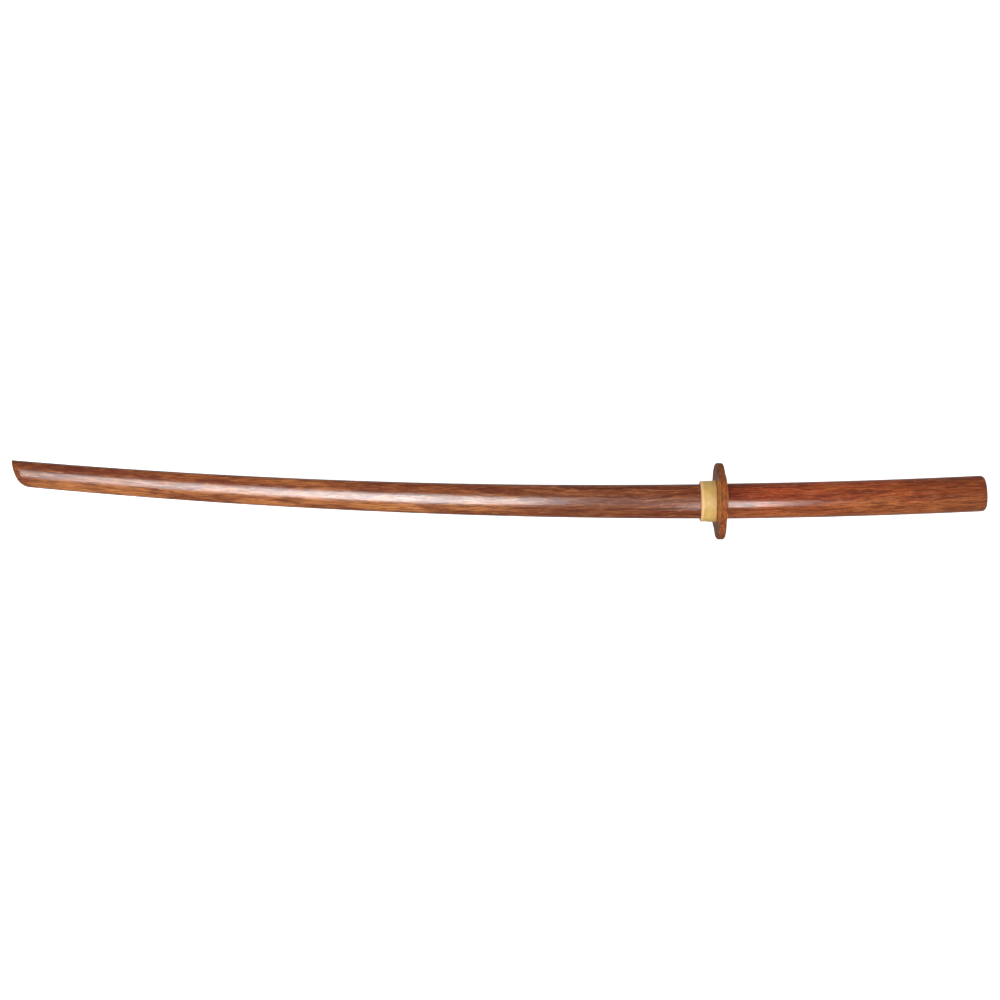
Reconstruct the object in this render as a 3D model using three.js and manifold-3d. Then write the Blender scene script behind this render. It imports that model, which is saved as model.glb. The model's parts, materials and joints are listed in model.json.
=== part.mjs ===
// A wooden practice sword: a one-piece body of blade and grip, a four-lobed guard against the shoulder
// between them, and a rubber ring in front of the guard that holds it there.
//
// Millimetres, +Z up. The sword lies on a floor at z = 0, on two lobes of its guard and on the edge of
// its blade, with the point towards -X and the back of the blade tilted up. The origin is the centre of
// its box's base.
//
// Each piece is modelled in the sword's own frame: its origin is the middle of the shoulder, x runs
// towards the pommel, y towards the back of the blade and z towards one of its sides. The centreline is
// one circular arc, and a station is an arc length along it from the shoulder, negative on the blade.
import * as THREE from "three";
import { mergeVertices } from "three/addons/utils/BufferGeometryUtils.js";
import Module from "manifold-3d";

const wasm = await Module();
wasm.setup();

// Driving dimensions
const OVERALL_LENGTH = 1015;
const GRIP_LENGTH = 272;
const CURVE_RADIUS = 7300;
const BLADE_HEIGHT = { point: 26.5, shoulder: 36.2 };
const BLADE_THICKNESS = { point: 17, shoulder: 23 };
const GRIP_HEIGHT = { shoulder: 36.7, pommel: 37.4 };
const GRIP_THICKNESS = { shoulder: 26, pommel: 26.6 };
const POMMEL_ROUNDING = 5;
const POINT_SLANT = 21.6; // how far the cut that makes the point runs back along the edge
const POINT_LEAN = 6.6; // how far back its curve would be at the edge if it ran on straight from the back
const ROOF_START = 0.88; // share of the blade's half height where its back starts to slope to the ridge
const OVAL_POWER = { blade: 2.6, grip: 2.1, ring: 2.2 }; // 2 is an ellipse, more is fuller and flatter-sided

const GUARD_REACH = 40; // from the guard's centre to the middle of each lobe
const GUARD_THICKNESS = 8.3;
const GUARD_ROUNDING = 2.4;
const NOTCH_REACH = 34.5; // from the guard's centre to the notch between two lobes
const NOTCH_ANGLE = THREE.MathUtils.degToRad(50); // between the middle of a side lobe and its notches
const LOBE_TURN = THREE.MathUtils.degToRad(8.5); // the lobes stand a little askew to the blade

const RING_LENGTH = 16.2;
const RING_HEIGHT = { front: 42, guard: 43.2 };
const RING_THICKNESS = { front: 31, guard: 35 };
const LIP_ROUNDING = 1.5;

const CLEARANCE = 0.3; // between any two pieces that touch

// Resolution
const SIDES = 48;
const STATION_STEP = 30;
const ROUNDING_STEPS = 4;
const LOBE_SEGMENTS = 14;

// Stations
const BLADE_LENGTH = OVERALL_LENGTH - GRIP_LENGTH;
const GUARD_BACK = -CLEARANCE;
const GUARD_FRONT = GUARD_BACK - GUARD_THICKNESS;
const RING_BACK = GUARD_FRONT - CLEARANCE;
const RING_FRONT = RING_BACK - RING_LENGTH;

const { lerp } = THREE.MathUtils;

// The sword's own frame at a station: its x axis is along the centreline there.
function stationFrame(station) {
  const angle = station / CURVE_RADIUS;
  const frame = new THREE.Matrix4().makeRotationZ(angle);
  return frame.setPosition(
    CURVE_RADIUS * Math.sin(angle),
    CURVE_RADIUS * (1 - Math.cos(angle)),
    0,
  );
}

// The blade's section at a station: half its height and half its thickness, the power of its oval, and
// where up its back the roof starts.
function bladeSection(station) {
  const share = 1 + station / BLADE_LENGTH;
  return {
    height: lerp(BLADE_HEIGHT.point, BLADE_HEIGHT.shoulder, share) / 2,
    thickness: lerp(BLADE_THICKNESS.point, BLADE_THICKNESS.shoulder, share) / 2,
    power: OVAL_POWER.blade,
    roof: ROOF_START,
  };
}

function gripSection(station) {
  const share = station / GRIP_LENGTH;
  return {
    height: lerp(GRIP_HEIGHT.shoulder, GRIP_HEIGHT.pommel, share) / 2,
    thickness: lerp(GRIP_THICKNESS.shoulder, GRIP_THICKNESS.pommel, share) / 2,
    power: OVAL_POWER.grip,
    roof: 1,
  };
}

// The ring's outer section, which flares towards the guard.
function ringSection(station) {
  const share = (station - RING_FRONT) / RING_LENGTH;
  return {
    height: lerp(RING_HEIGHT.front, RING_HEIGHT.guard, share) / 2,
    thickness: lerp(RING_THICKNESS.front, RING_THICKNESS.guard, share) / 2,
    power: OVAL_POWER.ring,
    roof: 1,
  };
}

// The same section with every side moved out by an amount, or in if it is negative.
function grown(section, amount) {
  return { ...section, height: section.height + amount, thickness: section.thickness + amount };
}

// A point on a section's outline, as [y, z]. Angle 0 is the side at +z, and a quarter turn is the back.
function outlinePoint({ height, thickness, power, roof }, angle) {
  const up = Math.sign(Math.sin(angle)) * Math.abs(Math.sin(angle)) ** (2 / power);
  const oval = (1 - Math.abs(up) ** power) ** (1 / power);
  const eaves = (1 - roof ** power) ** (1 / power);
  const out = up > roof ? (eaves * (1 - up)) / (1 - roof) : oval;
  return [height * up, thickness * Math.sign(Math.cos(angle)) * out];
}

// A closed solid through a section at each of the stations, which run from the point to the pommel.
function loft(stations, sectionAt) {
  const last = stations.length - 1;
  const geometry = new THREE.CylinderGeometry(1, 1, last, SIDES, last);
  const position = geometry.getAttribute("position");
  const vertex = new THREE.Vector3();
  for (let i = 0; i < position.count; i++) {
    vertex.fromBufferAttribute(position, i);
    const station = stations[Math.round(last / 2 + vertex.y)];
    const onAxis = Math.hypot(vertex.x, vertex.z) < 0.5;
    const angle = Math.atan2(-vertex.x, vertex.z);
    const [y, z] = onAxis ? [0, 0] : outlinePoint(sectionAt(station), angle);
    vertex.set(0, y, z).applyMatrix4(stationFrame(station));
    position.setXYZ(i, vertex.x, vertex.y, vertex.z);
  }
  return solid(geometry);
}

// Evenly spaced stations between two, both included, no further apart than the station step.
function evenStations(from, to) {
  const steps = Math.ceil((to - from) / STATION_STEP);
  return Array.from({ length: steps + 1 }, (_, i) => lerp(from, to, i / steps));
}

// Stations through a quarter-round edge that ends at a station, and how far the edge has come in there.
function roundedEnd(end, radius, direction) {
  return Array.from({ length: ROUNDING_STEPS + 1 }, (_, i) => {
    const angle = (i / ROUNDING_STEPS) * (Math.PI / 2);
    return {
      station: end - direction * radius * (1 - Math.sin(angle)),
      inset: radius * (1 - Math.cos(angle)),
    };
  });
}

// Conversions between three.js geometry and manifold-3d solids
function solid(geometry) {
  const bare = geometry.clone();
  bare.deleteAttribute("normal");
  bare.deleteAttribute("uv");
  const merged = mergeVertices(bare, 1e-4);
  return new wasm.Manifold(
    new wasm.Mesh({
      numProp: 3,
      vertProperties: merged.getAttribute("position").array,
      triVerts: new Uint32Array(merged.index.array),
    }),
  );
}

function geometryOf(body) {
  const { vertProperties, triVerts } = body.getMesh();
  const geometry = new THREE.BufferGeometry();
  geometry.setAttribute("position", new THREE.BufferAttribute(vertProperties, 3));
  geometry.setIndex(new THREE.BufferAttribute(triVerts, 1));
  geometry.computeVertexNormals();
  return geometry;
}

// The bore through a piece that slides on the blade: the blade there, and the clearance all round.
function boreAround(from, to) {
  const margin = 2;
  return loft([from - margin, to + margin], (station) => grown(bladeSection(station), CLEARANCE));
}

// Everything ahead of the curved cut that runs from the ridge of the back to the edge.
function pointCutter() {
  const back = bladeSection(-BLADE_LENGTH).height;
  const edge = -bladeSection(POINT_SLANT - BLADE_LENGTH).height;
  const reach = 4 * back;
  const shape = new THREE.Shape();
  shape.moveTo(0, back);
  shape.quadraticCurveTo(POINT_LEAN, edge, POINT_SLANT, edge);
  shape.lineTo(POINT_SLANT, -reach);
  shape.lineTo(-reach, -reach);
  shape.lineTo(-reach, reach);
  shape.lineTo(0, reach);
  const depth = 2 * BLADE_THICKNESS.shoulder;
  const geometry = new THREE.ExtrudeGeometry(shape, { depth, bevelEnabled: false, curveSegments: 16 });
  geometry.translate(0, 0, -depth / 2);
  geometry.applyMatrix4(stationFrame(-BLADE_LENGTH));
  return solid(geometry);
}

function swordBody() {
  const overlap = 2; // the blade runs this far into the grip, so that the two join
  const blade = loft([...evenStations(-BLADE_LENGTH, 0), overlap], bladeSection);
  const pommel = roundedEnd(GRIP_LENGTH, POMMEL_ROUNDING, 1);
  const insets = new Map(pommel.map(({ station, inset }) => [station, inset]));
  const gripEnd = pommel[0].station;
  const stations = [...evenStations(0, gripEnd), ...[...insets.keys()].slice(1)];
  const grip = loft(stations, (station) => grown(gripSection(station), -(insets.get(station) ?? 0)));
  return geometryOf(blade.subtract(pointCutter()).add(grip));
}

// The two shapes of lobe, one at each side and one at each end: the angle from a lobe's middle to its
// notches, and how far the centre of its arc is from the guard's, so that the arc meets the notches.
function lobe(notchAngle) {
  const slack = GUARD_REACH - NOTCH_REACH * Math.cos(notchAngle);
  return { notchAngle, offset: (GUARD_REACH ** 2 - NOTCH_REACH ** 2) / (2 * slack) };
}

const SIDE_LOBE = lobe(NOTCH_ANGLE);
const END_LOBE = lobe(Math.PI / 2 - NOTCH_ANGLE);

function guard() {
  const shape = new THREE.Shape();
  [SIDE_LOBE, END_LOBE, SIDE_LOBE, END_LOBE].forEach(({ notchAngle, offset }, quarter) => {
    const direction = (quarter * Math.PI) / 2 - LOBE_TURN;
    const notch = [NOTCH_REACH * Math.cos(notchAngle) - offset, NOTCH_REACH * Math.sin(notchAngle)];
    const halfSweep = Math.atan2(notch[1], notch[0]);
    shape.absarc(
      offset * Math.cos(direction),
      offset * Math.sin(direction),
      GUARD_REACH - offset,
      direction - halfSweep,
      direction + halfSweep,
      false,
    );
  });
  const geometry = new THREE.ExtrudeGeometry(shape, {
    depth: GUARD_THICKNESS - 2 * GUARD_ROUNDING,
    bevelSize: GUARD_ROUNDING,
    bevelOffset: -GUARD_ROUNDING,
    bevelThickness: GUARD_ROUNDING,
    bevelSegments: ROUNDING_STEPS,
    curveSegments: LOBE_SEGMENTS,
  });
  geometry.translate(0, 0, GUARD_ROUNDING);
  geometry.rotateY(Math.PI / 2);
  geometry.applyMatrix4(stationFrame(GUARD_FRONT));
  return geometryOf(solid(geometry).subtract(boreAround(GUARD_FRONT, GUARD_BACK)));
}

function retainingRing() {
  const lip = roundedEnd(RING_FRONT, LIP_ROUNDING, -1).reverse();
  const insets = new Map(lip.map(({ station, inset }) => [station, inset]));
  const outer = loft([...insets.keys(), RING_BACK], (station) =>
    grown(ringSection(station), -(insets.get(station) ?? 0)),
  );
  return geometryOf(outer.subtract(boreAround(RING_FRONT, RING_BACK)));
}

function piece(name, geometry, finish) {
  const mesh = new THREE.Mesh(geometry, new THREE.MeshStandardMaterial(finish));
  mesh.name = name;
  return mesh;
}

// The smallest turn about a foot that brings some point of a body, ahead of it, down to the foot's level.
function restingPitch(geometry, foot) {
  const position = geometry.getAttribute("position");
  const turns = Array.from({ length: position.count }, (_, i) =>
    Math.atan2(position.getZ(i) - foot.z, foot.x - position.getX(i)),
  );
  return turns.reduce((least, turn) => Math.min(least, turn));
}

const body = swordBody();
const sword = new THREE.Group();
sword.add(
  piece("sword_body", body, { color: 0x8a4526, roughness: 0.35, metalness: 0 }),
  piece("guard", guard(), { color: 0x8c4f2e, roughness: 0.45, metalness: 0 }),
  piece("retaining_ring", retainingRing(), { color: 0xdca860, roughness: 0.5, metalness: 0 }),
);

// Lying down: the floor touches a side lobe and an end lobe of the guard, and the blade comes down until
// its edge touches too. The floor's direction is an angle from the middle of the side lobe.
const gap = Math.hypot(SIDE_LOBE.offset, END_LOBE.offset);
const floorAngle =
  Math.atan2(END_LOBE.offset, -SIDE_LOBE.offset) - Math.acos((END_LOBE.offset - SIDE_LOBE.offset) / gap);
const roll = floorAngle + LOBE_TURN;
const foot = {
  x: GUARD_FRONT + GUARD_ROUNDING,
  z: -(GUARD_REACH - SIDE_LOBE.offset * (1 - Math.cos(floorAngle))),
};
const pitch = restingPitch(body.clone().rotateX(roll), foot);
sword.rotation.set(roll, -pitch, 0, "YXZ");

const box = new THREE.Box3().setFromObject(sword, true);
const middle = box.getCenter(new THREE.Vector3());
sword.position.set(-middle.x, -middle.y, -box.min.z);

const practiceSword = new THREE.Group();
practiceSword.add(sword);

export default practiceSword;
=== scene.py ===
"""A wooden practice sword on a pale floor: fine meshes, wood and rubber, studio light and camera.

Each piece is shaped in the sword's own measures: a station along the centreline from the shoulder,
negative on the blade, a height above the centreline towards the back, and a width towards the side
that the camera sees. Every mesh keeps them in its "grain" attribute, in metres, and its material
reads that, so that the grain follows the blade's curve and moves with the piece.
"""

import json
import math

import bpy
import numpy as np
from mathutils import Matrix, Vector


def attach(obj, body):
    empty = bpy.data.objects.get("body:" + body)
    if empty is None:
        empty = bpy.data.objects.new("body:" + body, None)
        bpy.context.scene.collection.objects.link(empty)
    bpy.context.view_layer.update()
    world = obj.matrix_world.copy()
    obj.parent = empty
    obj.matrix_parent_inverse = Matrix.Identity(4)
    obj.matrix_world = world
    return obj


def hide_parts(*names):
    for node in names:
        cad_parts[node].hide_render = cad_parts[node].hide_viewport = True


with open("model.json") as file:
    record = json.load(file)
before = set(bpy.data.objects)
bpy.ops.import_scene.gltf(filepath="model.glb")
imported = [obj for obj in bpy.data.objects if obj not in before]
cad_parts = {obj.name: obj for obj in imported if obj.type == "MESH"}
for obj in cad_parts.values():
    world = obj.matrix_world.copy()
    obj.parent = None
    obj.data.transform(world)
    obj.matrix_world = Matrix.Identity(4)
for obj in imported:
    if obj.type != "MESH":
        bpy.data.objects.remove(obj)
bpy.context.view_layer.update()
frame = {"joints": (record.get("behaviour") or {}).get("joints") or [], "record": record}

# ---------------------------------------------------------------- dimensions, in metres

BLADE_LENGTH = 0.743
GRIP_LENGTH = 0.272
BLADE_HEIGHT = (0.0265, 0.0362)  # at the point, at the shoulder
BLADE_THICKNESS = (0.017, 0.023)
GRIP_HEIGHT = (0.0367, 0.0374)  # at the shoulder, at the pommel
GRIP_THICKNESS = (0.026, 0.0266)
BLADE_POWER = 2.6  # of the section's oval: 2 is an ellipse, more is fuller and flatter-sided
GRIP_POWER = 2.1
RING_POWER = 2.2
ROOF_START = 0.88  # share of the blade's half height where its back starts to slope to the ridge
POINT_SLANT = 0.0216  # how far the cut that makes the point runs back along the edge
POINT_LEAN = 0.0066  # how far back its curve would be at the edge if it ran on straight
POINT_RIM = 0.0015  # rounding of the rim round the point
POINT_BEVEL = 0.0085  # how far in from the rim the point's bevel reaches
RIM_SHARE = 0.62  # of the thinning round the point; the bevel does the rest
POMMEL_ROUNDING = 0.005
SHOULDER_ROUNDING = 0.0008

GUARD_REACH = 0.040
GUARD_THICKNESS = 0.0083
GUARD_ROUNDING = 0.0024
NOTCH_REACH = 0.0345  # from the guard's centre to the notch between two lobes
NOTCH_ANGLE = math.radians(50)  # between the middle of a side lobe and its notches
LOBE_TURN = math.radians(8.5)  # the lobes stand a little askew to the blade
NOTCH_SOFTNESS = 0.001
GUARD_BORE_ROUNDING = 0.0006

RING_LENGTH = 0.0162
RING_HEIGHT = (0.042, 0.0432)  # at the front, against the guard
RING_THICKNESS = (0.031, 0.035)
RING_LIP_ROUNDING = 0.0014
RING_BORE_ROUNDING = 0.0005
RING_BEAD = (0.00025, 0.0016)  # how proud it stands, and how far behind the lip
RING_GROOVE = (-0.0003, 0.0045)
RIPPLE_WIDTH = 0.0012  # of the bead and of the groove
CLEARANCE = 0.0003  # between any two pieces that touch

GUARD_BACK = -CLEARANCE
GUARD_FRONT = GUARD_BACK - GUARD_THICKNESS
RING_BACK = GUARD_FRONT - CLEARANCE
RING_FRONT = RING_BACK - RING_LENGTH

SIDES = 168  # points round a section
LOBED_SIDES = 360  # points round the guard
STATION_STEP = 0.0025

# ---------------------------------------------------------------- the sword's own measures

slide = next(joint for joint in frame["joints"] if joint["name"] == "guard_slide")
pommel_mount = frame["record"]["mounts"][0]
ARC_CENTRE = np.array(slide["pos_m"])
SIDE = -np.array(slide["axis"]) / np.linalg.norm(slide["axis"])
CURVE_RADIUS = np.linalg.norm(ARC_CENTRE - pommel_mount["pos_m"])
UP_AT_POMMEL = (ARC_CENTRE - pommel_mount["pos_m"]) / CURVE_RADIUS
ALONG_AT_POMMEL = np.cross(UP_AT_POMMEL, SIDE)


def directions(station):
    """The unit vectors towards the pommel and up to the back, at a station of the centreline."""
    angle = (np.asarray(station, float) - GRIP_LENGTH) / CURVE_RADIUS
    cosine, sine = np.cos(angle)[..., None], np.sin(angle)[..., None]
    along = cosine * ALONG_AT_POMMEL + sine * UP_AT_POMMEL
    up = cosine * UP_AT_POMMEL - sine * ALONG_AT_POMMEL
    return along, up


def place(grain):
    """Points in the row frame from their station, height and width."""
    station, height, width = np.moveaxis(np.asarray(grain, float), -1, 0)
    _, up = directions(station)
    return ARC_CENTRE + (height - CURVE_RADIUS)[..., None] * up + width[..., None] * SIDE


def between(ends, share):
    return ends[0] + (ends[1] - ends[0]) * share


def blade_halves(station):
    share = 1 + station / BLADE_LENGTH
    return between(BLADE_HEIGHT, share) / 2, between(BLADE_THICKNESS, share) / 2


def grip_halves(station):
    share = station / GRIP_LENGTH
    return between(GRIP_HEIGHT, share) / 2, between(GRIP_THICKNESS, share) / 2


def soft_minimum(a, b, softness):
    """The lower of two values, with the corner between them rounded."""
    softness = np.maximum(softness, 1e-9)
    overlap = np.maximum(softness - np.abs(a - b), 0) / softness
    return np.minimum(a, b) - overlap**2 * softness / 4


def oval_width(share, power):
    return np.maximum(1 - np.abs(share) ** power, 0) ** (1 / power)


def roofed_width(share, ridge_rounding=0.03, eaves_rounding=0.05):
    """The blade's half width at a share of its half height: an oval with a blunt roofed back."""
    oval = oval_width(share, BLADE_POWER)
    fall = np.maximum(1 - share, 0)
    slope = oval_width(ROOF_START, BLADE_POWER) / (1 - ROOF_START)
    roof = slope * np.sqrt(fall * (fall + 2 * ridge_rounding)) * (1 - ridge_rounding)
    return np.where(share > 0, soft_minimum(oval, roof, eaves_rounding * fall / (fall + 0.1)), oval)


# ---------------------------------------------------------------- meshes


def grid_mesh(name, grain, closed_rows):
    """A mesh through rows of points, each row a closed ring.

    The last row joins up with the first, or else a fan closes each end.
    """
    rows, sides = grain.shape[:2]
    points = grain.reshape(-1, 3)
    strips = rows if closed_rows else rows - 1
    row, side = np.meshgrid(np.arange(strips), np.arange(sides), indexing="ij")
    row_after, side_after = (row + 1) % rows, (side + 1) % sides
    quads = np.stack(
        [
            row * sides + side,
            row * sides + side_after,
            row_after * sides + side_after,
            row_after * sides + side,
        ],
        axis=-1,
    )
    faces = [tuple(face) for face in quads.reshape(-1, 4).tolist()]
    if not closed_rows:
        tips = np.stack([grain[0].mean(axis=0), grain[-1].mean(axis=0)])
        first, last = len(points), len(points) + 1
        points = np.concatenate([points, tips])
        end = (rows - 1) * sides
        for i in range(sides):
            j = (i + 1) % sides
            faces.append((first, j, i))
            faces.append((last, end + i, end + j))
    mesh = bpy.data.meshes.new(name)
    mesh.from_pydata(place(points).tolist(), [], faces)
    attribute = mesh.attributes.new("grain", "FLOAT_VECTOR", "POINT")
    attribute.data.foreach_set("vector", points.astype(np.float32).ravel())
    mesh.shade_smooth()
    piece = bpy.data.objects.new(name, mesh)
    bpy.context.collection.objects.link(piece)
    return piece


def ring_angles():
    return np.linspace(0, 2 * np.pi, SIDES, endpoint=False)


def oval_shares(angles, power):
    """Heights round an oval, as shares of its half height, and the side that each point is on."""
    sine = np.sin(angles)
    return np.sign(sine) * np.abs(sine) ** (2 / power), np.sign(np.cos(angles))


def quarter_round(radius, steps=8):
    """How far along and how far in a rounded edge is, from its side to its end."""
    turn = np.linspace(0, np.pi / 2, steps + 1)
    return radius * np.sin(turn), radius * (1 - np.cos(turn))


def point_cut(turn):
    """The curved cut of the point, from the back to the edge, as depth from the tip and height."""
    back = blade_halves(-BLADE_LENGTH)[0]
    edge = -blade_halves(POINT_SLANT - BLADE_LENGTH)[0]
    depth = 2 * turn * (1 - turn) * POINT_LEAN + turn**2 * POINT_SLANT
    height = back + (edge - back) * (2 * turn - turn**2)
    return depth, height


def point_thinning(depth, heights):
    """The share of the blade's thickness that is left near the cut of the point."""
    cut_depth, cut_height = point_cut(np.linspace(0, 1, 300))
    offset = np.hypot(depth - cut_depth[None, :], heights[:, None] - cut_height[None, :])
    nearest = offset.argmin(axis=1)
    slope_along, slope_up = np.gradient(cut_depth)[nearest], np.gradient(cut_height)[nearest]
    # The rim and the bevel fade out along the edge, where the cut no longer faces forward.
    forward = np.clip(np.abs(slope_up) / np.hypot(slope_along, slope_up), 0.05, 1)
    distance = offset.min(axis=1)
    inside_rim = np.minimum(distance / (POINT_RIM * forward), 1)
    inside_bevel = np.minimum(distance / (POINT_BEVEL * forward), 1)
    rim = np.sqrt(1 - (1 - inside_rim) ** 2)
    bevel = 1 - (1 - inside_bevel) ** 2
    return RIM_SHARE * rim + (1 - RIM_SHARE) * bevel


def blade_ring(station, low=None):
    """One ring of the blade. At the point it spans from the cut, its lowest height, to the back."""
    shares, sides = oval_shares(ring_angles(), BLADE_POWER)
    half_height, half_thickness = blade_halves(station)
    low = -half_height if low is None else low
    heights = (half_height + low) / 2 + (half_height - low) / 2 * shares
    widths = sides * half_thickness * roofed_width(heights / half_height)
    if station + BLADE_LENGTH < POINT_SLANT:
        widths = widths * point_thinning(station + BLADE_LENGTH, heights)
    return np.stack([np.full(SIDES, station), heights, widths], axis=-1)


def grip_ring(station, inset):
    shares, sides = oval_shares(ring_angles(), GRIP_POWER)
    half_height, half_thickness = grip_halves(station)
    heights = (half_height - inset) * shares
    widths = sides * (half_thickness - inset) * oval_width(shares, GRIP_POWER)
    return np.stack([np.full(SIDES, station), heights, widths], axis=-1)


def sword_body():
    rings = []
    # The rings stand closest together at the tip.
    for turn in np.linspace(0.05, 1, 48) ** 1.5:
        depth, low = point_cut(turn)
        rings.append(blade_ring(depth - BLADE_LENGTH, low))
    point_end = POINT_SLANT - BLADE_LENGTH
    steps = math.ceil(-point_end / STATION_STEP)
    rings += [blade_ring(s) for s in np.linspace(point_end, 0, steps + 1)[1:]]

    along, inset = quarter_round(SHOULDER_ROUNDING, 4)
    rings += [grip_ring(a, i) for a, i in zip(SHOULDER_ROUNDING - along[::-1], inset[::-1])]
    grip_end = GRIP_LENGTH - POMMEL_ROUNDING
    steps = math.ceil(grip_end / STATION_STEP)
    rings += [grip_ring(s, 0) for s in np.linspace(SHOULDER_ROUNDING, grip_end, steps + 1)[1:-1]]
    along, inset = quarter_round(POMMEL_ROUNDING)
    rings += [grip_ring(grip_end + a, i) for a, i in zip(along, inset)]
    face = grip_ring(GRIP_LENGTH, POMMEL_ROUNDING)
    for share in (0.97, 0.8, 0.5, 0.2):
        rings.append(face * [1, share, share])
    return grid_mesh("sword_wood_body", np.stack(rings), closed_rows=False)


def hole_radius(angles, station):
    """How far the bore's wall is from its middle, at angles from the width towards the back."""
    half_height, half_thickness = blade_halves(station)
    shares = np.sin(np.linspace(-np.pi / 2, np.pi / 2, 400))
    heights = (half_height + CLEARANCE) * shares
    widths = (half_thickness + CLEARANCE) * roofed_width(shares)
    found = np.arctan2(heights, widths)
    order = np.argsort(found)
    folded = np.arcsin(np.sin(angles))
    return np.interp(folded, found[order], np.hypot(heights, widths)[order])


def lobed_radius(angles, inset):
    """The guard's outline, moved in: wide lobes at its sides, narrow ones at its ends."""
    found = np.full_like(angles, -1.0)
    for quarter in range(4):
        notch_angle = NOTCH_ANGLE if quarter % 2 == 0 else np.pi / 2 - NOTCH_ANGLE
        slack = GUARD_REACH - NOTCH_REACH * math.cos(notch_angle)
        offset = (GUARD_REACH**2 - NOTCH_REACH**2) / (2 * slack)
        away = angles - (quarter * np.pi / 2 + LOBE_TURN)
        sine, cosine = np.sin(away), np.cos(away)
        arc = offset * cosine + np.sqrt((GUARD_REACH - offset - inset) ** 2 - (offset * sine) ** 2)
        found = -soft_minimum(-found, -arc, NOTCH_SOFTNESS)
    return found


def guard_plate():
    """The guard as outlines: over its rim, in along its back, through its bore and out again."""
    turns = np.linspace(0, 2 * np.pi, LOBED_SIDES, endpoint=False)
    edge_along, edge_in = quarter_round(GUARD_ROUNDING)
    lip_along, lip_in = quarter_round(GUARD_BORE_ROUNDING, 3)
    face_shares = (0.96, 0.75, 0.5, 0.25, 0.04)  # of the way from the bore to the rim
    outlines = []

    def add(station, radius):
        # An angle of 0 points to the side that the camera sees, and a quarter turn on is the back.
        heights, widths = radius * np.sin(turns), radius * np.cos(turns)
        outlines.append(np.stack([np.full_like(turns, station), heights, widths], axis=-1))

    flat_edge = lobed_radius(turns, GUARD_ROUNDING)
    bore = hole_radius(turns, (GUARD_FRONT + GUARD_BACK) / 2)
    for a, i in zip(edge_along[::-1], edge_in[::-1]):
        add(GUARD_FRONT + GUARD_ROUNDING - a, lobed_radius(turns, i))
    for a, i in zip(edge_along, edge_in):
        add(GUARD_BACK - GUARD_ROUNDING + a, lobed_radius(turns, i))
    for share in face_shares:
        add(GUARD_BACK, between((bore + lip_in[-1], flat_edge), share))
    for a, i in zip(lip_along[::-1], lip_in[::-1]):
        add(GUARD_BACK - lip_in[-1] + a, bore + i)
    for a, i in zip(lip_along, lip_in):
        add(GUARD_FRONT + lip_in[-1] - a, bore + i)
    for share in face_shares[::-1]:
        add(GUARD_FRONT, between((bore + lip_in[-1], flat_edge), share))
    return grid_mesh("guard_plate", np.stack(outlines)[::-1], closed_rows=True)


def collar_outside(station, inset):
    """One ring of the collar's outside, which flares to the guard, with a bead behind its lip."""
    shares, sides = oval_shares(ring_angles(), RING_POWER)
    behind_lip = station - RING_FRONT
    share = behind_lip / RING_LENGTH
    proud = -inset
    for rise, place_behind in (RING_BEAD, RING_GROOVE):
        proud += rise * math.exp(-(((behind_lip - place_behind) / RIPPLE_WIDTH) ** 2))
    heights = (between(RING_HEIGHT, share) / 2 + proud) * shares
    widths = sides * (between(RING_THICKNESS, share) / 2 + proud) * oval_width(shares, RING_POWER)
    return np.stack([np.full(SIDES, station), heights, widths], axis=-1)


def collar_bore(station, inset):
    """One ring of the collar's bore, which follows the blade and is opened out by an inset."""
    shares, sides = oval_shares(ring_angles(), BLADE_POWER)
    half_height, half_thickness = blade_halves(station)
    heights = (half_height + CLEARANCE + inset) * shares
    widths = sides * (half_thickness + CLEARANCE + inset) * roofed_width(shares)
    return np.stack([np.full(SIDES, station), heights, widths], axis=-1)


def retaining_collar():
    """The collar as rings: over its lip, back along its outside and forward through its bore."""
    along, inset = quarter_round(RING_LIP_ROUNDING, 6)
    front_edge = RING_FRONT + along[-1]
    rings = [collar_outside(front_edge - a, i) for a, i in zip(along[::-1], inset[::-1])]
    bore_along, bore_inset = quarter_round(RING_BORE_ROUNDING, 4)
    bore_front, bore_back = RING_FRONT + bore_along[-1], RING_BACK - bore_along[-1]
    rings += [collar_outside(s, 0) for s in np.linspace(front_edge, bore_back, 30)[1:]]
    rings += [collar_outside(bore_back + a, i) for a, i in zip(bore_along, bore_inset)][1:]
    rings += [collar_bore(bore_back + a, i) for a, i in zip(bore_along[::-1], bore_inset[::-1])]
    rings += [collar_bore(s, 0) for s in np.linspace(bore_back, bore_front, 8)[1:-1]]
    rings += [collar_bore(bore_front - a, i) for a, i in zip(bore_along, bore_inset)]
    return grid_mesh("retaining_collar", np.stack(rings), closed_rows=True)


# ---------------------------------------------------------------- material nodes


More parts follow.
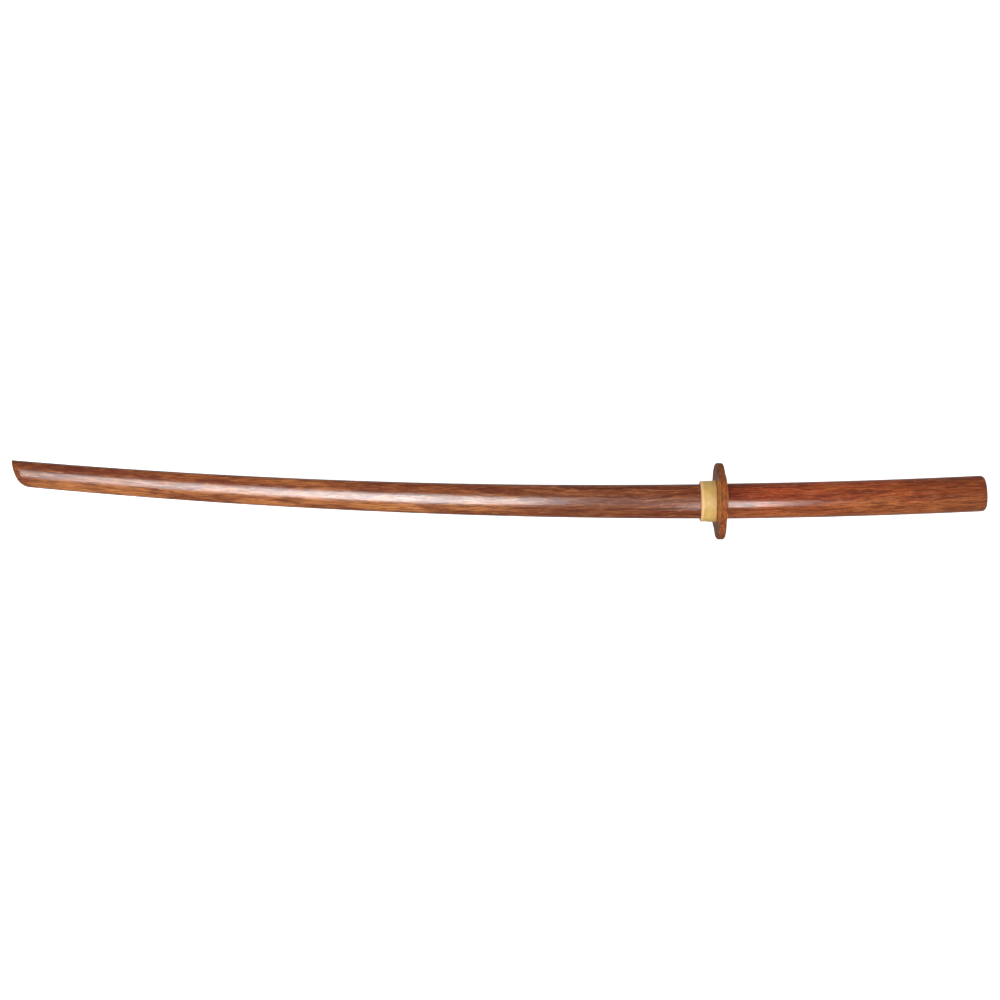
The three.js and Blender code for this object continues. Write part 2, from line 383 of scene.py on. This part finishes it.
class Nodes:
    """Short calls that add nodes to one material and join them up."""

    def __init__(self, name):
        self.material = bpy.data.materials.new(name)
        self.material.use_nodes = True
        self.tree = self.material.node_tree
        self.tree.nodes.clear()

    def add(self, kind, inputs=(), **settings):
        node = self.tree.nodes.new(kind)
        for key, value in settings.items():
            setattr(node, key, value)
        for key, value in dict(inputs).items():
            self.feed(node.inputs[key], value)
        return node

    def feed(self, socket, value):
        if isinstance(value, bpy.types.NodeSocket):
            self.tree.links.new(value, socket)
        else:
            socket.default_value = value

    def math(self, operation, *values):
        """The result of a sum on sockets and plain numbers."""
        node = self.add("ShaderNodeMath", operation=operation)
        for socket, value in zip(node.inputs, values):
            self.feed(socket, value)
        return node.outputs[0]

    def grain(self):
        """The station, height and width of a point, in metres, as three sockets."""
        attribute = self.add("ShaderNodeAttribute", attribute_name="grain")
        split = self.add("ShaderNodeSeparateXYZ", {"Vector": attribute.outputs["Vector"]})
        return split.outputs

    def stretched(self, grain, along, across, offset=0.0):
        """Coordinates with so many repeats to a metre along the grain and across it."""
        x = self.math("MULTIPLY_ADD", grain[0], along, offset)
        y = self.math("MULTIPLY", grain[1], across)
        z = self.math("MULTIPLY", grain[2], across)
        return self.add("ShaderNodeCombineXYZ", {"X": x, "Y": y, "Z": z}).outputs[0]

    def noise(self, vector, detail=2.0, roughness=0.5):
        inputs = {"Vector": vector, "Scale": 1.0, "Detail": detail, "Roughness": roughness}
        return self.add("ShaderNodeTexNoise", inputs).outputs["Fac"]

    def cells(self, vector):
        """The distance to the nearest of many scattered points."""
        inputs = {"Vector": vector, "Scale": 1.0, "Randomness": 1.0}
        return self.add("ShaderNodeTexVoronoi", inputs).outputs["Distance"]

    def stripes(self, value):
        """Noise along one number."""
        inputs = {"W": value, "Scale": 1.0, "Detail": 3.0}
        return self.add("ShaderNodeTexNoise", inputs, noise_dimensions="1D").outputs["Fac"]

    def levels(self, value, low, high, to_low=0.0, to_high=1.0):
        """A smooth step from one level to another, held at its ends."""
        ends = {"From Min": low, "From Max": high, "To Min": to_low, "To Max": to_high}
        inputs = {"Value": value, **ends}
        return self.add("ShaderNodeMapRange", inputs, interpolation_type="SMOOTHSTEP").outputs[0]

    def mix(self, share, a, b):
        """One colour mixed with another. Their sockets share names, so they go by number."""
        node = self.add("ShaderNodeMix", data_type="RGBA")
        self.feed(node.inputs["Factor"], share)
        self.feed(node.inputs[6], a)
        self.feed(node.inputs[7], b)
        return node.outputs[2]

    def ramp(self, value, stops):
        node = self.add("ShaderNodeValToRGB", {"Fac": value})
        elements = node.color_ramp.elements
        while len(elements) < len(stops):
            elements.new(0.5)
        for element, (position, colour) in zip(elements, stops):
            element.position = position
            element.color = colour
        return node.outputs["Color"]

    def bump(self, height, distance):
        inputs = {"Height": height, "Distance": distance, "Strength": 1.0}
        return self.add("ShaderNodeBump", inputs).outputs["Normal"]

    def surface(self, **inputs):
        named = {key.replace("_", " "): value for key, value in inputs.items()}
        shader = self.add("ShaderNodeBsdfPrincipled", named)
        output = self.add("ShaderNodeOutputMaterial")
        self.tree.links.new(shader.outputs[0], output.inputs["Surface"])
        return self.material


def srgb(red, green, blue):
    """A colour from the 0 to 255 values that a screen shows."""
    channels = [c / 255 for c in (red, green, blue)]
    return (*[c / 12.92 if c <= 0.04045 else ((c + 0.055) / 1.055) ** 2.4 for c in channels], 1.0)


# ---------------------------------------------------------------- materials


def sword_wood():
    n = Nodes("stained_sword_wood")
    grain = n.grain()
    station, height, width = grain[0], grain[1], grain[2]

    # Where things change: the last of the blade before the ring is calmer than the rest.
    calm = n.math("MULTIPLY", n.levels(station, -0.26, -0.18), n.levels(station, -0.01, -0.02))
    on_grip = n.levels(station, -0.01, 0.01)

    # Growth rings: the distance from a heart that wanders, so that the lines drift along the
    # blade. A swelling in it, 86 mm in front of the shoulder, bends them into an eye.
    wander = n.noise(n.stretched(grain, 16, 24), detail=3, roughness=0.55)
    drift = n.math("MULTIPLY_ADD", wander, 0.014, -0.007)
    from_heart = n.math("ADD", height, drift)
    lift = n.math("MULTIPLY", n.math("MULTIPLY", from_heart, from_heart), 9.0)
    swell_along = n.math("DIVIDE", n.math("SUBTRACT", station, -0.086), 0.022)
    swell_up = n.math("DIVIDE", n.math("SUBTRACT", height, 0.003), 0.005)
    reach = n.math("ADD", n.math("POWER", swell_along, 2.0), n.math("POWER", swell_up, 2.0))
    swell = n.math("DIVIDE", 0.006, n.math("ADD", reach, 1.0))
    bulge = n.math("ADD", swell, n.math("MULTIPLY", width, 0.6))
    ring = n.math("ADD", n.math("ADD", from_heart, lift), bulge)
    growth = n.stripes(n.math("MULTIPLY", ring, 380.0))

    # Figure: everything else follows the same drift, more gently.
    flow = (station, n.math("MULTIPLY_ADD", drift, 0.35, height), width)
    patches = n.noise(n.stretched(flow, 15, 95, 31.0), detail=2)
    streaks = n.noise(n.stretched(flow, 30, 640, 11.0), detail=4, roughness=0.65)
    flecks = n.noise(n.stretched(flow, 72, 980, 47.0), detail=3, roughness=0.6)
    fibre = n.noise(n.stretched(flow, 45, 2200), detail=3, roughness=0.6)
    pore = n.levels(n.cells(n.stretched(flow, 150, 1250, 5.0)), 0.36, 0.16)
    chosen = n.levels(n.noise(n.stretched(flow, 26, 240, 23.0), detail=1), 0.42, 0.6)
    pore_share = n.math("MULTIPLY_ADD", on_grip, 0.3, 0.4)
    pore_depth = n.math("MULTIPLY", n.math("MULTIPLY", pore, chosen), pore_share)

    # The colour changes from the point to the pommel; it is darkest on the grip behind the guard.
    length_share = n.levels(station, -BLADE_LENGTH, GRIP_LENGTH)
    length_share.node.interpolation_type = "LINEAR"
    length_colour = n.ramp(
        length_share,
        [
            (0.00, srgb(106, 52, 28)),
            (0.08, srgb(126, 66, 34)),
            (0.20, srgb(146, 80, 40)),
            (0.45, srgb(132, 72, 38)),
            (0.60, srgb(121, 68, 42)),
            (0.70, srgb(130, 66, 37)),
            (0.74, srgb(128, 44, 26)),
            (0.775, srgb(172, 72, 38)),
            (0.87, srgb(174, 82, 42)),
            (1.00, srgb(150, 72, 36)),
        ],
    )

    def subdued(amount, on_calm, on_the_grip):
        """An amount that changes by a share of itself where the wood is calm, and on the grip."""
        rest = n.math("MULTIPLY_ADD", on_grip, on_the_grip, 1.0)
        return n.math("MULTIPLY", amount, n.math("MULTIPLY_ADD", calm, on_calm, rest))

    # Redder towards the back and more golden towards the edge: partly the wood's own colour,
    # and partly painted light, since more light falls on the edge side.
    golden_and_lit = n.levels(from_heart, 0.004, -0.012, 0.0, 0.75)
    colour = n.mix(subdued(golden_and_lit, -1.0, -0.5), length_colour, srgb(186, 120, 68))
    # The growth rings are plainest where the wood is calm.
    dark_line = n.levels(growth, 0.4, 0.52, 1.0, 0.0)
    line_share = n.math("MULTIPLY_ADD", calm, 0.5, 0.4)
    colour = n.mix(n.math("MULTIPLY", dark_line, line_share), colour, srgb(86, 42, 26))
    pale_line = n.math("MULTIPLY", n.levels(growth, 0.55, 0.66), calm)
    colour = n.mix(n.math("MULTIPLY", pale_line, 0.35), colour, srgb(188, 118, 76))
    # Each noise darkens the wood at one end of its range, and most lighten it at the other.
    dark_patches = n.levels(patches, 0.46, 0.6, 0.0, 0.65)
    colour = n.mix(subdued(dark_patches, -0.5, -0.4), colour, srgb(96, 40, 26))
    colour = n.mix(n.levels(patches, 0.44, 0.32, 0.0, 0.3), colour, srgb(166, 102, 52))
    colour = n.mix(n.levels(streaks, 0.53, 0.61, 0.0, 0.65), colour, srgb(88, 42, 26))
    colour = n.mix(n.levels(streaks, 0.46, 0.35, 0.0, 0.25), colour, srgb(200, 130, 78))
    dark_flecks = n.levels(flecks, 0.53, 0.61, 0.0, 0.75)
    colour = n.mix(subdued(dark_flecks, -0.45, -0.2), colour, srgb(78, 36, 24))
    colour = n.mix(n.levels(flecks, 0.44, 0.33, 0.0, 0.35), colour, srgb(204, 136, 86))
    colour = n.mix(n.levels(fibre, 0.5, 0.72, 0.0, 0.4), colour, srgb(84, 40, 26))
    colour = n.mix(pore_depth, colour, srgb(60, 28, 18))

    relief = n.math("ADD", n.math("MULTIPLY", fibre, 0.6), n.math("MULTIPLY", flecks, -0.5))
    relief = n.math("SUBTRACT", relief, n.math("MULTIPLY", pore_depth, 0.5))
    # The varnish is thinner, and shows more of the fibre, on the front of the blade.
    thinness = n.levels(station, -0.12, -0.26, 1.0, 1.9)
    ripple = n.math("MULTIPLY", n.math("MULTIPLY_ADD", flecks, -0.15, fibre), thinness)
    return n.surface(
        Base_Color=colour,
        Roughness=n.levels(fibre, 0.3, 0.7, 0.5, 0.62),
        Specular_IOR_Level=0.1,
        Normal=n.bump(relief, 0.00012),
        Coat_Weight=1.0,
        Coat_Roughness=0.08,
        Coat_Normal=n.bump(ripple, 0.00004),
    )


def guard_wood():
    n = Nodes("stained_guard_wood")
    grain = n.grain()
    # The plate's grain runs from its edge side to its back side, across the sword.
    along, across, through = grain[1], grain[2], grain[0]
    turned = (along, across, through)
    wander = n.noise(n.stretched(turned, 14, 40), detail=2)
    drift = n.math("MULTIPLY_ADD", wander, 0.01, n.math("MULTIPLY", through, 1.4))
    growth = n.stripes(n.math("MULTIPLY", n.math("ADD", across, drift), 560.0))
    fibre = n.noise(n.stretched(turned, 60, 1100), detail=4, roughness=0.65)
    mottle = n.noise(n.stretched(turned, 150, 420, 4.0), detail=3, roughness=0.6)
    pore = n.levels(n.cells(n.stretched(turned, 210, 1300, 5.0)), 0.34, 0.12, 0.0, 0.6)

    # The rim is a warm brown. The faces are greyer towards the ends of the grain, and golden by
    # the ring, as a painted reflection of the ring. Painted shade darkens the rounded edges and
    # those ends.
    middle = (GUARD_FRONT + GUARD_BACK) / 2
    off_middle = n.math("ABSOLUTE", n.math("SUBTRACT", through, middle))
    on_face = n.levels(off_middle, GUARD_THICKNESS / 2 - 0.0022, GUARD_THICKNESS / 2 - 0.0001)
    from_bore = n.math("ABSOLUTE", along)
    # Near the bore the faces are golden: a painted reflection of the ring.
    away_from_ring_reflection = n.levels(from_bore, 0.017, 0.026)
    pale = n.mix(on_face, srgb(182, 98, 46), n.mix(away_from_ring_reflection, srgb(238, 156, 72), srgb(168, 116, 96)))
    dark = n.mix(on_face, srgb(122, 56, 28), n.mix(away_from_ring_reflection, srgb(182, 108, 50), srgb(112, 66, 56)))
    colour = n.mix(n.levels(growth, 0.38, 0.62), dark, pale)
    # Painted shade along the rounded edges between the rim and the faces.
    from_shaded_edge = n.math("ABSOLUTE", n.math("SUBTRACT", off_middle, GUARD_THICKNESS / 2 - 0.0012))
    colour = n.mix(n.levels(from_shaded_edge, 0.0012, 0.0, 0.0, 0.4), colour, srgb(84, 50, 28))
    # Painted shade towards the ends of the plate, far from the bore.
    colour = n.mix(n.levels(from_bore, 0.027, 0.039, 0.0, 0.35), colour, srgb(80, 56, 38))
    colour = n.mix(n.levels(mottle, 0.45, 0.62, 0.0, 0.7), colour, srgb(82, 42, 26))
    colour = n.mix(n.levels(fibre, 0.48, 0.32, 0.0, 0.5), colour, srgb(200, 136, 88))
    colour = n.mix(n.levels(fibre, 0.54, 0.68, 0.0, 0.4), colour, srgb(92, 48, 30))
    colour = n.mix(pore, colour, srgb(66, 34, 24))
    relief = n.math("SUBTRACT", n.math("MULTIPLY_ADD", growth, 0.3, fibre), pore)
    return n.surface(
        Base_Color=colour,
        Roughness=n.levels(mottle, 0.3, 0.7, 0.45, 0.6),
        Specular_IOR_Level=0.1,
        Normal=n.bump(relief, 0.00016),
        Coat_Weight=0.12,
        Coat_Roughness=0.3,
        Coat_Normal=n.bump(relief, 0.0001),
    )


def ring_rubber():
    n = Nodes("tan_rubber")
    grain = n.grain()
    patches = n.noise(n.stretched(grain, 120, 120), detail=3, roughness=0.6)
    speckle = n.noise(n.stretched(grain, 1700, 1700, 9.0), detail=2)
    draw = n.noise(n.stretched(grain, 60, 500, 2.0), detail=3)
    colour = n.mix(n.levels(patches, 0.35, 0.7), srgb(200, 166, 88), srgb(216, 180, 104))
    colour = n.mix(n.levels(draw, 0.4, 0.75, 0.0, 0.3), colour, srgb(198, 150, 74))
    colour = n.mix(n.levels(speckle, 0.5, 0.75, 0.0, 0.35), colour, srgb(192, 142, 72))
    # It is paler towards its two ends, and palest at its lip, which carries a painted highlight.
    from_middle = n.math("ABSOLUTE", n.math("SUBTRACT", grain[0], (RING_FRONT + RING_BACK) / 2))
    colour = n.mix(n.levels(from_middle, 0.003, 0.0078, 0.0, 0.6), colour, srgb(238, 184, 126))
    lip_highlight = n.levels(grain[0], RING_FRONT + 0.0036, RING_FRONT + 0.002, 0.0, 0.6)
    colour = n.mix(lip_highlight, colour, srgb(240, 196, 140))
    relief = n.math("MULTIPLY_ADD", patches, 2.0, speckle)
    return n.surface(
        Base_Color=colour,
        Roughness=n.levels(patches, 0.3, 0.7, 0.42, 0.55),
        Normal=n.bump(relief, 0.00005),
        Coat_Weight=0.35,
        Coat_Roughness=0.3,
        Subsurface_Weight=0.08,
        Subsurface_Radius=(0.004, 0.0022, 0.001),
        Subsurface_Scale=0.5,
    )


def pale_floor():
    """A white table of diffusing sheet, lit a little from below."""
    return Nodes("pale_floor").surface(
        Base_Color=(0.85, 0.85, 0.85, 1.0),
        Roughness=0.9,
        Specular_IOR_Level=0.1,
        Emission_Color=(1.0, 1.0, 1.0, 1.0),
        Emission_Strength=0.8,
    )


# ---------------------------------------------------------------- the object


def add_piece(piece, material, body, node):
    piece.data.materials.append(material)
    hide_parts(node)
    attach(piece, body)


add_piece(sword_body(), sword_wood(), "sword", "sword_body")
add_piece(guard_plate(), guard_wood(), "guard", "guard")
add_piece(retaining_collar(), ring_rubber(), "ring", "retaining_ring")

# ---------------------------------------------------------------- camera

CAMERA_DISTANCE = 1.72  # from the plane of the centreline, square to it
CAMERA_STATION = -0.2328  # what it looks at
CAMERA_LEVEL = -0.081  # the station where the centreline runs level in the view
CAMERA_LENS = 59.52  # in millimetres, as is the sensor
CAMERA_SENSOR = 36


def camera_frame():
    """The camera's right, up and back directions, and the point it looks at."""
    right, _ = directions(CAMERA_LEVEL)
    up = np.cross(SIDE, right)
    _, target_up = directions(CAMERA_STATION)
    target = ARC_CENTRE - CURVE_RADIUS * target_up
    return Vector(right), Vector(up), Vector(SIDE), Vector(target)


RIGHT, UP, BACK, TARGET = camera_frame()


def set_camera():
    data = bpy.data.cameras.new("camera")
    data.lens = CAMERA_LENS
    data.sensor_width = CAMERA_SENSOR
    data.clip_start = 0.05
    data.clip_end = 100
    camera = bpy.data.objects.new("camera", data)
    turn = Matrix((RIGHT, UP, BACK)).transposed()
    camera.matrix_world = Matrix.Translation(TARGET + BACK * CAMERA_DISTANCE) @ turn.to_4x4()
    bpy.context.collection.objects.link(camera)
    bpy.context.scene.camera = camera


# ---------------------------------------------------------------- floor and light


def set_floor(reach=30):
    """The floor is only seen: neither its light nor its reflection falls on the sword."""
    mesh = bpy.data.meshes.new("floor")
    corners = [(-reach, -reach, 0), (reach, -reach, 0), (reach, reach, 0), (-reach, reach, 0)]
    mesh.from_pydata(corners, [], [(0, 1, 2, 3)])
    mesh.materials.append(pale_floor())
    floor = bpy.data.objects.new("floor", mesh)
    floor.visible_glossy = False
    floor.visible_diffuse = False
    bpy.context.collection.objects.link(floor)


def softbox(name, sideways, below, width, height, radiance, spread=180, roll=0):
    """A rectangular light, as far off as the camera and tilted to face the sword.

    It is placed by metres to the right of the camera's axis and degrees below it, and its roll
    lifts its left end. A spread under 180 degrees stands for a grid in front of it, and the
    radiance is what it shows straight ahead.
    """
    data = bpy.data.lights.new(name, "AREA")
    data.shape = "RECTANGLE"
    data.size = width
    data.size_y = height
    data.spread = math.radians(spread)
    half = data.spread / 2
    grid = 1 if spread == 180 else 1 - half / math.tan(half)
    data.energy = radiance * math.pi * width * height * grid
    light = bpy.data.objects.new(name, data)
    tilt = math.radians(below)
    away = BACK * math.cos(tilt) - UP * math.sin(tilt)
    up = (UP - away * UP.dot(away)).normalized()
    position = Matrix.Translation(TARGET + RIGHT * sideways + away * CAMERA_DISTANCE)
    turn = Matrix((RIGHT, up, away)).transposed() @ Matrix.Rotation(-math.radians(roll), 3, "Z")
    light.matrix_world = position @ turn.to_4x4()
    light.visible_camera = False
    bpy.context.collection.objects.link(light)
    return light


def set_fill(*placing, **size_and_radiance):
    """A softbox that lights the wood but leaves no highlight on it."""
    softbox(*placing, **size_and_radiance).visible_glossy = False


def set_world(diffuse, glossy_front, glossy_behind):
    """An even surround that the camera sees as white.

    In reflections it is dim on the camera's side, so that the softboxes stand out.
    """
    world = bpy.data.worlds.new("studio")
    world.use_nodes = True
    nodes, links = world.node_tree.nodes, world.node_tree.links
    background = nodes["Background"]
    background.inputs["Color"].default_value = (1, 1, 1, 1)
    facing = nodes.new("ShaderNodeVectorMath")
    facing.operation = "DOT_PRODUCT"
    facing.inputs[1].default_value = BACK
    links.new(nodes.new("ShaderNodeTexCoord").outputs["Generated"], facing.inputs[0])
    glossy = nodes.new("ShaderNodeMapRange")
    glossy.interpolation_type = "SMOOTHSTEP"
    glossy.inputs["From Min"].default_value = 0.3
    glossy.inputs["From Max"].default_value = -0.7
    glossy.inputs["To Min"].default_value = glossy_front
    glossy.inputs["To Max"].default_value = glossy_behind
    links.new(facing.outputs["Value"], glossy.inputs["Value"])
    ray = nodes.new("ShaderNodeLightPath")
    # Sockets 2 and 3 of a Mix node are its two numbers.
    level = nodes.new("ShaderNodeMix")
    level.inputs[2].default_value = diffuse
    links.new(ray.outputs["Is Glossy Ray"], level.inputs[0])
    links.new(glossy.outputs[0], level.inputs[3])
    seen = nodes.new("ShaderNodeMix")
    seen.inputs[3].default_value = 1.0
    links.new(ray.outputs["Is Camera Ray"], seen.inputs[0])
    links.new(level.outputs[0], seen.inputs[2])
    links.new(seen.outputs[0], background.inputs["Strength"])
    bpy.context.scene.world = world


set_camera()
set_floor()
set_world(diffuse=0.5, glossy_front=0.03, glossy_behind=0.3)
softbox("left_softbox", -0.54, 0.0, width=1.14, height=0.36, radiance=27, spread=49, roll=15)
softbox("centre_softbox", -0.22, 4.0, width=0.5, height=0.8, radiance=5, spread=24, roll=8)
softbox("right_softbox", 0.498, 15.5, width=0.09, height=0.76, radiance=21)
softbox("right_scrim", 0.595, 15.5, width=0.12, height=0.6, radiance=2.5)
softbox("middle_scrim", 0.25, 1, width=0.44, height=0.5, radiance=1.0)
set_fill("low_fill", -0.6, 38, width=1.2, height=0.8, radiance=4.6)
set_fill("front_fill", 0.5, 12, width=1.4, height=0.8, radiance=3.0)
set_fill("back_fill", -0.3, -135, width=1.4, height=0.5, radiance=4.0)
bpy.context.scene.view_settings.view_transform = "Standard"
